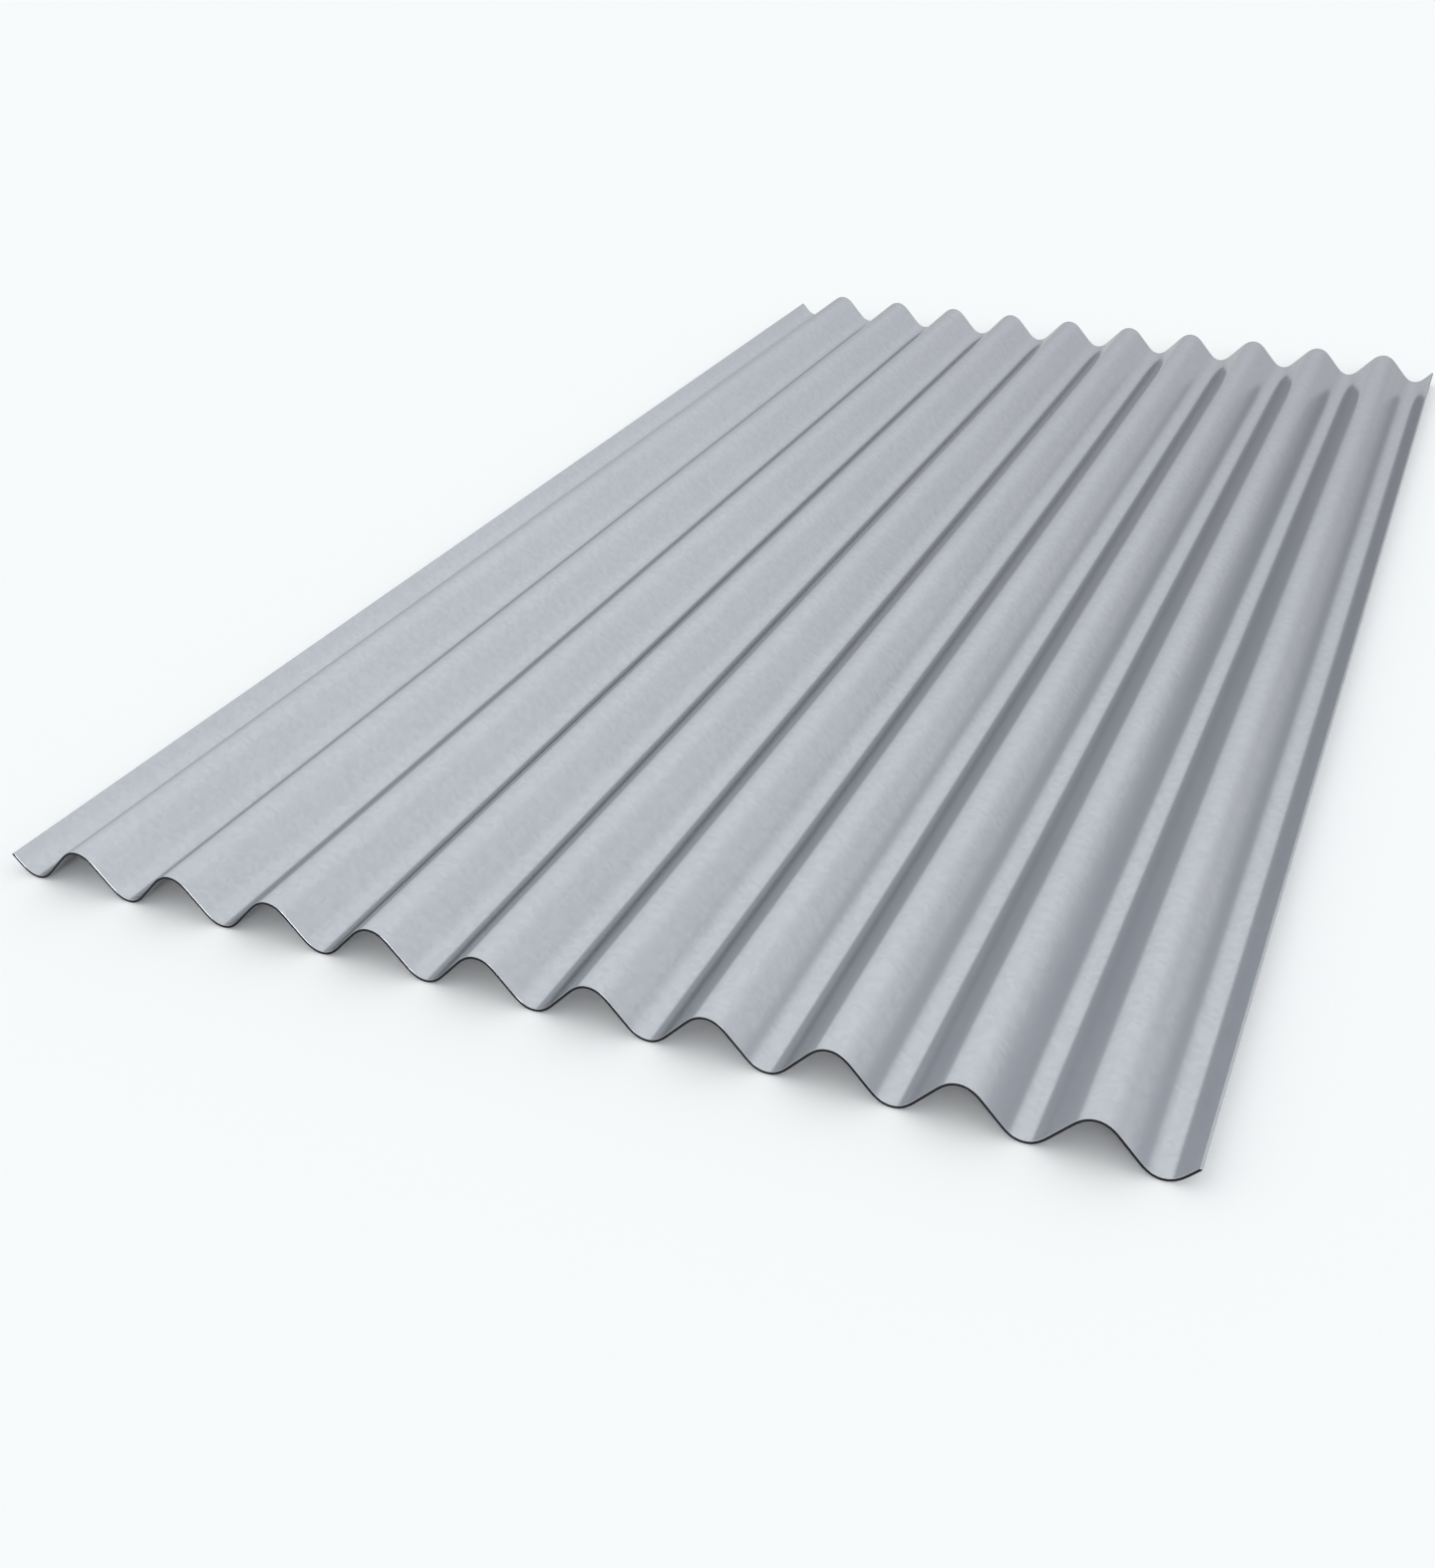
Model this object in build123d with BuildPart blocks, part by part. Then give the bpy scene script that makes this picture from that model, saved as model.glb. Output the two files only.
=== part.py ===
from build123d import *
from math import asin, atan2, hypot, tan
import os

# A roll-formed corrugated sheet, lying flat with its troughs on the floor.
# X runs across the waves, Y along them and Z up. The origin is on the floor,
# under the middle of the sheet. All sizes are in millimetres.
sheet_length = 1500.0
sheet_thickness = 2.0
wave_pitch = 76.2
overall_height = 29.8
bend_radius = 14.0
crest_count = 10

# The middle of the metal runs straight down each flank and round each bend.
# wave_depth is its rise from trough to crest, half_wave the run between them.
half_wave = wave_pitch / 2
wave_depth = overall_height - sheet_thickness
mid_height = overall_height / 2

# Two bends of equal radius face each other across a flank, and the flank is
# the line that touches both. Its slope follows from where their centres lie.
centres_rise = wave_depth - 2 * bend_radius
centres_apart = hypot(half_wave, centres_rise)
flank_angle = asin(2 * bend_radius / centres_apart) + atan2(centres_rise, half_wave)

# Before they are rounded, the waves are a zigzag of straight flanks. Its
# corners alternate trough, crest, trough, with a trough at each side, and the
# sheet's long edges are cut half-way up the flank past the outer troughs.
corner_rise = half_wave / 2 * tan(flank_angle)
corner_count = 2 * crest_count + 1
first_corner_x = -crest_count * half_wave
edge_x = -first_corner_x + half_wave / 2

zigzag = [(-edge_x, mid_height)]
for corner in range(corner_count):
    side = 1 if corner % 2 else -1
    zigzag.append((first_corner_x + corner * half_wave, mid_height + side * corner_rise))
zigzag.append((edge_x, mid_height))

with BuildPart() as corrugated_sheet:
    with BuildSketch(Plane.XZ) as section:
        with BuildLine() as middle_line:
            FilletPolyline(*zigzag, radius=bend_radius)
        trace(line_width=sheet_thickness)
    extrude(amount=sheet_length / 2, both=True)

os.makedirs("parts", exist_ok=True)
corrugated_sheet.part.label = "corrugated_sheet"
export_step(corrugated_sheet.part, "parts/corrugated_sheet.step")
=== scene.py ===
import math
import bpy
import numpy as np
from mathutils import Matrix, Vector


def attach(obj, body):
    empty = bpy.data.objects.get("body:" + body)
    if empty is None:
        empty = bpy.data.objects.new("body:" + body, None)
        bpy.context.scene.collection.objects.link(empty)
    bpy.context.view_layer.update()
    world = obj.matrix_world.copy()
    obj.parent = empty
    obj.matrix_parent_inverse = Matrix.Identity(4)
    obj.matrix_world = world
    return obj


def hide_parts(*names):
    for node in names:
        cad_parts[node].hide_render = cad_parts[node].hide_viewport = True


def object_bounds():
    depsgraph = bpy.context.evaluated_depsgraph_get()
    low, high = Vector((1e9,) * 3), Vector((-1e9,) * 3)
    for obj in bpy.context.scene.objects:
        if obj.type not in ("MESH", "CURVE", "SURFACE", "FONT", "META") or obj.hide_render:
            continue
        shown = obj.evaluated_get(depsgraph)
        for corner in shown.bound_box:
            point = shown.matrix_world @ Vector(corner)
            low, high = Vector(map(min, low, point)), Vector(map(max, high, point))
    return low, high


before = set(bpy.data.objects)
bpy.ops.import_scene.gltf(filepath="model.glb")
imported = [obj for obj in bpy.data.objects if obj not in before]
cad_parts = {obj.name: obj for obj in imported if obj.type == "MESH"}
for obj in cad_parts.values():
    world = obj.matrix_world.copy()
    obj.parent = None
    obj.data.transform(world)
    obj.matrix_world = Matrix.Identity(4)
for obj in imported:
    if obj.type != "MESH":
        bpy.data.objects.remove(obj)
cadLow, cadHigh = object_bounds()
print("frame loaded:", sorted(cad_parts))

fullTurn = 6.283  # radians

# What a user would change about the sheet, in metres. Its length and height
# come from the frame.
sheet = {
    "length": cadHigh.y - cadLow.y,  # along the waves
    "height": cadHigh.z - cadLow.z,  # from under a trough to the top of a crest
    "thickness": 0.002,
    "pitch": 0.0762,  # from crest to crest
    "bendRadius": 0.014,  # of the metal's middle line, at every bend
    "crests": 10,
    "softening": 0.012,  # how gently a bend runs into a flank
    "tableSteps": 1601,  # steps in which a half wave is added up
    "columns": 20,  # grid columns in half a wave
    "rows": 76,  # grid rows along the length
    "edgeBreak": 0.00015,  # the small chamfer round the cut ends
    "cornerDraw": 0.8,  # the share of the chamfer taken where two edges meet
    "clearance": 0.000001,  # kept free between the long edges and the CAD box
    "sharpFrom": 32,  # degrees between faces, from which an edge is sharp
    "unevenness": 0.00015,  # how far the rolled metal strays from true
    "rippleCount": 14,
    "rippleAcross": 22,  # the most ripples in a metre of metal across
    "rippleAlong": 2.2,
    "rippleFade": 8,  # the larger, the stronger the narrow ripples are
    "seed": 11,
}


# Two equal bends face each other across a flank, and the flank is the line
# that touches both, so its slope follows from where their centres lie. Gives
# the slope, the straight flank's length and the metal's length in half a wave.
def waveSizes(s):
    depth = s["height"] - s["thickness"]
    centresRise = depth - 2 * s["bendRadius"]
    centresApart = math.hypot(s["pitch"] / 2, centresRise)
    slope = math.asin(2 * s["bendRadius"] / centresApart) + math.atan2(centresRise, s["pitch"] / 2)
    flank = math.sqrt(centresApart**2 - (2 * s["bendRadius"]) ** 2)
    return slope, flank, flank + 2 * s["bendRadius"] * slope


# One half wave, down one flank and up the next. The direction turns evenly
# round the bend, and its mean over a short run of metal softens the places
# where bend and flank meet. Adding up its cosine and sine gives x and z, which
# are then drawn out to just half the pitch and half the depth.
def halfWave(s):
    slope, flank, length = waveSizes(s)
    soft = s["softening"]
    walked = np.linspace(0, length, s["tableSteps"])

    # the way walked since start, with the mean over the short run taken in
    def turned(start):
        past = walked - start
        return (np.maximum(past + soft / 2, 0) ** 2 - np.maximum(past - soft / 2, 0) ** 2) / (2 * soft)

    bend = 2 * s["bendRadius"] * slope
    heading = (turned(flank / 2) - turned(flank / 2 + bend)) / s["bendRadius"] - slope
    x, z = np.cumsum(np.cos(heading)), np.cumsum(np.sin(heading))
    x = (x - x[0]) * s["pitch"] / 2 / (x[-1] - x[0])
    z = (z - z[0]) * (s["height"] - s["thickness"]) / 2 / (z[0] - z.min())
    return walked, x, z, np.arctan2(np.gradient(z), np.gradient(x))


# Walks a distance along the middle line from the left edge and gives x, z and
# the direction there. Every other half wave is turned upside down.
def middleLine(s, walked):
    table, tableX, tableZ, heading = halfWave(s)
    hair = 1e-9  # takes a point just on a border into the next half wave
    number = np.clip(np.floor(walked / table[-1] + hair), 0, 2 * s["crests"])
    along = walked - number * table[-1]
    side = np.where(number % 2 < 1, 1.0, -1.0)
    edge = (2 * s["crests"] + 1) * s["pitch"] / 4
    x = np.interp(along, table, tableX) + number * s["pitch"] / 2 - edge
    z = side * np.interp(along, table, tableZ) + s["height"] / 2
    return x, z, side * np.interp(along, table, heading)


# A few long soft ripples added together, scaled to reach just 1 and -1. Each
# is a sine with its own direction and phase, and weaker the narrower it is.
def ripples(s, walked, y):
    rng = np.random.default_rng(s["seed"])
    total = np.zeros(np.broadcast(walked, y).shape)
    for _ in range(s["rippleCount"]):
        across = rng.uniform(-s["rippleAcross"], s["rippleAcross"])
        along = rng.uniform(-s["rippleAlong"], s["rippleAlong"])
        phase = rng.uniform(0, fullTurn)
        ripple = np.sin(fullTurn * (across * walked + along * y) + phase)
        total += ripple / (1 + abs(across) / s["rippleFade"])
    return total / np.abs(total).max()


# One closed loop runs over the top of the section, round the right edge, back
# underneath and round the left edge. It is carried along the length in rows,
# and the two end rows are drawn in a little, as a chamfer, and capped.
def buildSheet(s):
    _, _, halfLength = waveSizes(s)
    halves = 2 * s["crests"] + 1
    total = halves * halfLength
    top = np.linspace(0, total, halves * s["columns"] + 1)
    count = len(top)
    half, cut = s["thickness"] / 2, s["edgeBreak"]

    # each point of the loop, by the metal walked and the height over its middle
    walked = np.concatenate([top, [total, total], top[::-1], [0, 0]])
    offset = np.concatenate([
        np.full(count, half), [half - cut, cut - half], np.full(count, -half), [cut - half, half - cut],
    ])
    isEdge = np.zeros(len(walked), bool)
    isEdge[[count, count + 1, -2, -1]] = True

    # the rows, and the chamfer that is drawn in at the first and the last one
    end = s["length"] / 2
    y = np.concatenate([[-end], np.linspace(cut - end, end - cut, s["rows"]), [end]])
    inset = np.zeros((len(y), 1))
    inset[[0, -1]] = cut
    cornerInset = s["cornerDraw"] * inset
    fromSide = np.where(isEdge, inset, cut + cornerInset)
    walkedGrid = np.clip(walked + 0 * inset, fromSide, total - fromSide)
    reach = np.where(isEdge, half - cut - cornerInset, half - inset)
    offsetGrid = np.clip(offset + 0 * inset, -reach, reach)

    # every point lies its height away from the middle line, square to it
    x, z, turn = middleLine(s, walkedGrid)
    yGrid = y[:, None] + 0 * x
    away = offsetGrid + s["unevenness"] * ripples(s, walkedGrid, yGrid)
    x, z = x - away * np.sin(turn), z + away * np.cos(turn)
    edgeX = np.abs(x).max()
    x *= (float(cadHigh.x) - s["clearance"]) / edgeX
    z = cadLow.z + (z - z.min()) * (s["height"] / (z.max() - z.min()))

    # four-sided faces between the rows, and a strip over each cut end
    n = len(walked)
    points = np.stack([x, yGrid, z], -1).reshape(-1, 3)
    grid = np.arange(len(y))[:, None] * n + np.arange(n)
    right = np.roll(grid, -1, 1)
    walls = np.stack([grid[:-1], right[:-1], right[1:], grid[1:]], -1).reshape(-1, 4)
    upper = np.arange(count)
    lower = 2 * count + 1 - upper
    upper, lower = np.append(upper, count), np.append(lower, count + 1)
    upper, lower = np.insert(upper, 0, n - 1), np.insert(lower, 0, n - 2)
    front = np.stack([upper[:-1], lower[:-1], lower[1:], upper[1:]], -1)
    back = front[:, ::-1] + (len(y) - 1) * n
    faces = np.concatenate([walls, front, back])
    mesh = bpy.data.meshes.new("sheetMetal")
    mesh.from_pydata(points.tolist(), [], faces.tolist())
    mesh.update()

    # the UV map is the strip before it was rolled, in metres
    developed = np.stack([walkedGrid, yGrid], -1).reshape(-1, 2)
    corner = np.zeros(len(mesh.loops), np.int32)
    mesh.loops.foreach_get("vertex_index", corner)
    layer = mesh.uv_layers.new(name="flatSheet")
    layer.uv.foreach_set("vector", developed[corner].astype(np.float32).ravel())
    finish = np.zeros(len(mesh.polygons), np.int32)
    finish[len(walls):] = 1
    mesh.polygons.foreach_set("material_index", finish)
    mesh.polygons.foreach_set("use_smooth", np.ones(len(mesh.polygons), bool))
    mesh.set_sharp_from_angle(angle=math.radians(s["sharpFrom"]))
    return mesh


# Adds a named node to a tree, at its place in the node editor.
def node(tree, kind, name, place, **values):
    made = tree.nodes.new(kind)
    made.name = made.label = name
    made.location = place
    for key, value in values.items():
        setattr(made, key, value)
    return made


# Sets a node's sockets by name, with _ for a space.
def put(made, **values):
    for key, value in values.items():
        made.inputs[key.replace("_", " ")].default_value = value
    return made


# Starts a node group with its named inputs and outputs.
def newGroup(name, inputs, outputs):
    group = bpy.data.node_groups.new(name, "ShaderNodeTree")
    for socket, kind, value in inputs:
        made = group.interface.new_socket(socket, in_out="INPUT", socket_type=kind)
        if value is not None:
            made.default_value = value
    for socket, kind in outputs:
        group.interface.new_socket(socket, in_out="OUTPUT", socket_type=kind)
    start = node(group, "NodeGroupInput", "in", (-800, 0))
    end = node(group, "NodeGroupOutput", "out", (800, 0))
    return group, start, end


# What both groups hold for every material. The rest is set in each material.
patterns = {
    "grainShare": 0.5,
    "streakDetail": 3.0,
    "streakRoughness": 0.6,
}


# Fine speckle: small cells of slightly different grey over finer noise. The
# noise alone, which has no steps in it, is there for a bump.
def speckleGroup(p):
    group, start, end = newGroup(
        "fineSpeckle",
        [
            ("Place", "NodeSocketVector", None),
            ("Cells", "NodeSocketFloat", 500.0),
            ("Grain", "NodeSocketFloat", 2000.0),
        ],
        [("Value", "NodeSocketFloat"), ("Smooth", "NodeSocketFloat")],
    )
    cells = node(group, "ShaderNodeTexVoronoi", "cells", (-500, 150))
    grey = node(group, "ShaderNodeSeparateColor", "cellGrey", (-250, 150))
    grain = node(group, "ShaderNodeTexNoise", "grain", (-500, -150))
    both = node(group, "ShaderNodeMix", "both", (100, 0), data_type="FLOAT")
    both.inputs["Factor"].default_value = p["grainShare"]
    link = group.links.new
    link(start.outputs["Place"], cells.inputs["Vector"])
    link(start.outputs["Cells"], cells.inputs["Scale"])
    link(start.outputs["Place"], grain.inputs["Vector"])
    link(start.outputs["Grain"], grain.inputs["Scale"])
    link(cells.outputs["Color"], grey.inputs["Color"])
    link(grey.outputs["Red"], both.inputs["A"])
    link(grain.outputs["Fac"], both.inputs["B"])
    link(both.outputs["Result"], end.inputs["Value"])
    link(grain.outputs["Fac"], end.inputs["Smooth"])
    return group


# Rolling streaks: noise squeezed across the sheet and drawn out along it.
def streakGroup(p):
    group, start, end = newGroup(
        "rollStreaks",
        [
            ("Place", "NodeSocketVector", None),
            ("Across", "NodeSocketFloat", 300.0),
            ("Along", "NodeSocketFloat", 3.0),
        ],
        [("Value", "NodeSocketFloat")],
    )
    split = node(group, "ShaderNodeSeparateXYZ", "split", (-600, 0))
    across = node(group, "ShaderNodeMath", "acrossTimes", (-400, 120), operation="MULTIPLY")
    along = node(group, "ShaderNodeMath", "alongTimes", (-400, -120), operation="MULTIPLY")
    join = node(group, "ShaderNodeCombineXYZ", "join", (-200, 0))
    noise = node(group, "ShaderNodeTexNoise", "streaks", (0, 0))
    put(noise, Scale=1.0, Detail=p["streakDetail"], Roughness=p["streakRoughness"])
    link = group.links.new
    link(start.outputs["Place"], split.inputs["Vector"])
    link(split.outputs["X"], across.inputs[0])
    link(start.outputs["Across"], across.inputs[1])
    link(split.outputs["Y"], along.inputs[0])
    link(start.outputs["Along"], along.inputs[1])
    link(across.outputs["Value"], join.inputs["X"])
    link(along.outputs["Value"], join.inputs["Y"])
    link(join.outputs["Vector"], noise.inputs["Vector"])
    link(noise.outputs["Fac"], end.inputs["Value"])
    return group


speckle, streaks = speckleGroup(patterns), streakGroup(patterns)

zinc = {
    "dark": (0.508, 0.524, 0.559, 1),
    "light": (0.643, 0.659, 0.691, 1),
    "cells": 210.0,  # per metre, as all the counts here
    "grain": 900.0,
    "streaksAcross": 260.0,
    "streaksAlong": 2.5,
    "clouds": 5.0,
    "cloudDetail": 2.0,
    "cloudRoughness": 0.5,
    "streakShare": 0.25,
    "cloudShare": 0.3,
    "metallic": 0.9,
    "edgeTint": (0.56, 0.56, 0.56, 1),
    "roughLow": 0.2,  # where the pattern is at mixHigh
    "roughHigh": 0.265,  # where it is at mixLow
    "mixLow": 0.3,
    "mixHigh": 0.7,
    "bump": 0.05,
    "bumpHeight": 0.0003,
}


def newMaterial(name):
    material = bpy.data.materials.new(name)
    material.use_nodes = True
    tree = material.node_tree
    shader = tree.nodes["Principled BSDF"]
    shader.location = (600, 0)
    tree.nodes["Material Output"].location = (900, 0)
    return material, tree, shader


# Dull zinc. Speckle, streaks and soft clouds are mixed into one pattern, which
# picks the grey between dark and light. Where it is light it is also smoother.
def zincMaterial(z):
    material, tree, shader = newMaterial("zincCoat")
    place = node(tree, "ShaderNodeUVMap", "flatSheet", (-900, 0), uv_map="flatSheet")
    spots = node(tree, "ShaderNodeGroup", "speckle", (-650, 200), node_tree=speckle)
    put(spots, Cells=z["cells"], Grain=z["grain"])
    lines = node(tree, "ShaderNodeGroup", "streaks", (-650, -50), node_tree=streaks)
    put(lines, Across=z["streaksAcross"], Along=z["streaksAlong"])
    cloud = node(tree, "ShaderNodeTexNoise", "clouds", (-650, -300))
    put(cloud, Scale=z["clouds"], Detail=z["cloudDetail"], Roughness=z["cloudRoughness"])
    blend = node(tree, "ShaderNodeMix", "speckleAndStreaks", (-350, 100), data_type="FLOAT")
    blend.inputs["Factor"].default_value = z["streakShare"]
    mixed = node(tree, "ShaderNodeMix", "withClouds", (-150, 0), data_type="FLOAT")
    mixed.inputs["Factor"].default_value = z["cloudShare"]
    colour = node(tree, "ShaderNodeMix", "zincGreys", (250, 200), data_type="RGBA")
    colour.inputs["A"].default_value = z["dark"]
    colour.inputs["B"].default_value = z["light"]
    rough = node(tree, "ShaderNodeMapRange", "roughness", (250, -100))
    put(rough, From_Min=z["mixLow"], From_Max=z["mixHigh"], To_Min=z["roughHigh"], To_Max=z["roughLow"])
    bump = node(tree, "ShaderNodeBump", "grainBump", (250, -350))
    put(bump, Strength=z["bump"], Distance=z["bumpHeight"])
    link = tree.links.new
    for user in (spots, lines):
        link(place.outputs["UV"], user.inputs["Place"])
    link(place.outputs["UV"], cloud.inputs["Vector"])
    link(spots.outputs["Value"], blend.inputs["A"])
    link(lines.outputs["Value"], blend.inputs["B"])
    link(blend.outputs["Result"], mixed.inputs["A"])
    link(cloud.outputs["Fac"], mixed.inputs["B"])
    link(mixed.outputs["Result"], colour.inputs["Factor"])
    link(mixed.outputs["Result"], rough.inputs["Value"])
    link(spots.outputs["Smooth"], bump.inputs["Height"])
    link(colour.outputs["Result"], shader.inputs["Base Color"])
    link(rough.outputs["Result"], shader.inputs["Roughness"])
    link(bump.outputs["Normal"], shader.inputs["Normal"])
    shader.inputs["Metallic"].default_value = z["metallic"]
    shader.inputs["Specular Tint"].default_value = z["edgeTint"]
    return material


# near-black greys for the cut ends: painted shade, darker than bare steel
cutEdgePaintedShade = {
    "dark": (0.006, 0.0065, 0.0075, 1),
    "light": (0.022, 0.023, 0.026, 1),
    "cells": 900.0,  # per metre
    "grain": 4000.0,
    "gloss": 0.15,
    "roughness": 0.6,
}


# Cut ends: the same speckle, much finer, between two near-blacks. The near-black is painted shade,
# standing in for the shadowed band under the edge; bare cut steel is a lighter grey.
def cutShadeMaterial(c):
    material, tree, shader = newMaterial("cutSteelPaintedShade")
    place = node(tree, "ShaderNodeTexCoord", "objectPlace", (-900, 0))
    spots = node(tree, "ShaderNodeGroup", "speckle", (-650, 100), node_tree=speckle)
    put(spots, Cells=c["cells"], Grain=c["grain"])
    colour = node(tree, "ShaderNodeMix", "cutPaintedShadeGreys", (250, 200), data_type="RGBA")
    colour.inputs["A"].default_value = c["dark"]
    colour.inputs["B"].default_value = c["light"]
    link = tree.links.new
    link(place.outputs["Object"], spots.inputs["Place"])
    link(spots.outputs["Value"], colour.inputs["Factor"])
    link(colour.outputs["Result"], shader.inputs["Base Color"])
    shader.inputs["Specular IOR Level"].default_value = c["gloss"]
    shader.inputs["Roughness"].default_value = c["roughness"]
    return material


sheetPiece = bpy.data.objects.new("corrugatedSheetMetal", buildSheet(sheet))
bpy.context.scene.collection.objects.link(sheetPiece)
sheetPiece.data.materials.append(zincMaterial(zinc))
sheetPiece.data.materials.append(cutShadeMaterial(cutEdgePaintedShade))
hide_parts("corrugated_sheet")
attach(sheetPiece, "root")
print("sheet built:", len(sheetPiece.data.polygons), "faces")

# The floor and the light. The surround is one pale grey that gets brighter
# with height, and a weak, broad sun stands low in front and to the right.
studio = {
    "light": (0.955, 0.975, 1.0, 1),
    "horizon": 0.763,  # the surround's strength low down
    "overhead": 0.987,  # and high up
    "riseFrom": -0.21,  # the heights between which it rises
    "riseTo": 0.745,
    "towards": (-0.58, 0.27, 1.0),  # the way in which height is measured
    "sunFrom": (1.0, -2.0, 1.0),
    "sunStrength": 0.49,
    "sunWidth": 22.0,  # degrees across
    "floorSize": 80.0,  # metres
    "floorColour": (0.97, 0.975, 0.965, 1),
    "floorRoughness": 0.9,
    "floorGloss": 0.0,
}


def buildFloor(s):
    half = s["floorSize"] / 2
    corners = [(-half, -half, 0), (half, -half, 0), (half, half, 0), (-half, half, 0)]
    mesh = bpy.data.meshes.new("studioFloor")
    mesh.from_pydata(corners, [], [(0, 1, 2, 3)])
    material, _, shader = newMaterial("paleFloor")
    shader.inputs["Base Color"].default_value = s["floorColour"]
    shader.inputs["Roughness"].default_value = s["floorRoughness"]
    shader.inputs["Specular IOR Level"].default_value = s["floorGloss"]
    mesh.materials.append(material)
    floor = bpy.data.objects.new("studioFloor", mesh)
    bpy.context.scene.collection.objects.link(floor)


# The surround's strength rises smoothly with how far a direction points
# towards the brightest part.
def buildWorld(s):
    world = bpy.data.worlds.new("studioWorld")
    bpy.context.scene.world = world
    world.use_nodes = True
    tree = world.node_tree
    back = tree.nodes["Background"]
    back.inputs["Color"].default_value = s["light"]
    where = node(tree, "ShaderNodeTexCoord", "direction", (-900, 0))
    height = node(tree, "ShaderNodeVectorMath", "height", (-700, 0), operation="DOT_PRODUCT")
    height.inputs[1].default_value = s["towards"]
    rise = node(tree, "ShaderNodeMapRange", "rise", (-400, 0), interpolation_type="SMOOTHSTEP")
    put(rise, From_Min=s["riseFrom"], From_Max=s["riseTo"], To_Min=s["horizon"], To_Max=s["overhead"])
    tree.links.new(where.outputs["Generated"], height.inputs[0])
    tree.links.new(height.outputs["Value"], rise.inputs["Value"])
    tree.links.new(rise.outputs["Result"], back.inputs["Strength"])


def buildSun(s):
    data = bpy.data.lights.new("softSun", "SUN")
    data.energy = s["sunStrength"]
    data.angle = math.radians(s["sunWidth"])
    sun = bpy.data.objects.new("softSun", data)
    sun.matrix_world = Vector(s["sunFrom"]).to_track_quat("Z", "Y").to_matrix().to_4x4()
    bpy.context.scene.collection.objects.link(sun)


buildFloor(studio)
buildWorld(studio)
buildSun(studio)
print("studio built")

# The camera stands where the photograph was taken from, found from the edges
# of the sheet in the picture.
shot = {
    "place": (0.45421, -1.51457, 0.66845),  # metres
    "down": 30.005,  # degrees, as left and roll
    "left": 23.443,
    "roll": 0.251,
    "lens": 41.487,  # millimetres, on a frame 36 high
}


def buildCamera(s):
    data = bpy.data.cameras.new("photoCamera")
    data.lens = s["lens"]
    camera = bpy.data.objects.new("photoCamera", data)
    turn = Matrix.Rotation(math.radians(s["left"]), 4, "Z")
    tilt = Matrix.Rotation(math.radians(90 - s["down"]), 4, "X")
    lean = Matrix.Rotation(-math.radians(s["roll"]), 4, "Z")
    camera.matrix_world = Matrix.Translation(s["place"]) @ turn @ tilt @ lean
    bpy.context.scene.collection.objects.link(camera)
    bpy.context.scene.camera = camera


buildCamera(shot)
bpy.context.scene.view_settings.view_transform = "Standard"
print("camera placed")
